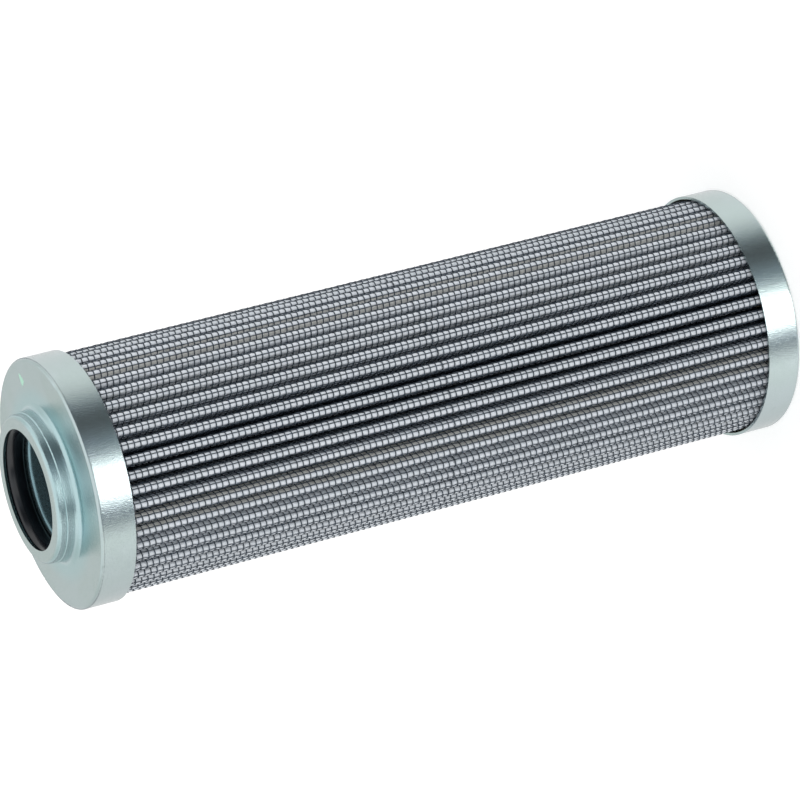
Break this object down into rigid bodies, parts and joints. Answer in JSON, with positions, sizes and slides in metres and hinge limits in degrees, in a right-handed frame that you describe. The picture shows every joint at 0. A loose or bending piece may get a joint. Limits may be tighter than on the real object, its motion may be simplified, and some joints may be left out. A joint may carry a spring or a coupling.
{
  "type": "hydraulic filter element",
  "caption": "Cylindrical hydraulic filter element with mesh-covered pleats between two pressed metal end caps, one closed and one with a neck that a rubber ring seals.",
  "frame": {"origin": "centre of the closed end cap's outer face, on the element's axis", "axes": "+Z along the element's axis, from the closed end towards the neck"},
  "size_m": [0.047, 0.047, 0.1481],
  "materials": {
    "cap_zinc": "blue-green passivated zinc plating, satin to bright",
    "collar_zinc": "blue-green passivated zinc plating",
    "seal_rubber": "semi-gloss black rubber",
    "tube_steel": "galvanised perforated sheet",
    "mesh_wire": "dark epoxy-coated woven wire",
    "fleece": "spun-bonded fleece",
    "glass_fibre": "glass fibre filter layer",
    "adhesive": "cast two-part adhesive"
  },
  "bodies": {
    "root": {"open_end_cap": "cap_zinc", "closed_end_cap": "cap_zinc", "seal_collar": "collar_zinc", "sealing_ring": "seal_rubber", "support_tube": "tube_steel", "outer_wire_mesh": "mesh_wire", "outer_fleece": "fleece", "coarse_glass_layer": "glass_fibre", "fine_glass_layer": "glass_fibre", "inner_fleece": "fleece", "inner_wire_mesh": "mesh_wire", "seam_adhesive": "adhesive", "open_end_adhesive": "adhesive", "closed_end_adhesive": "adhesive"}
  },
  "joints": []
}
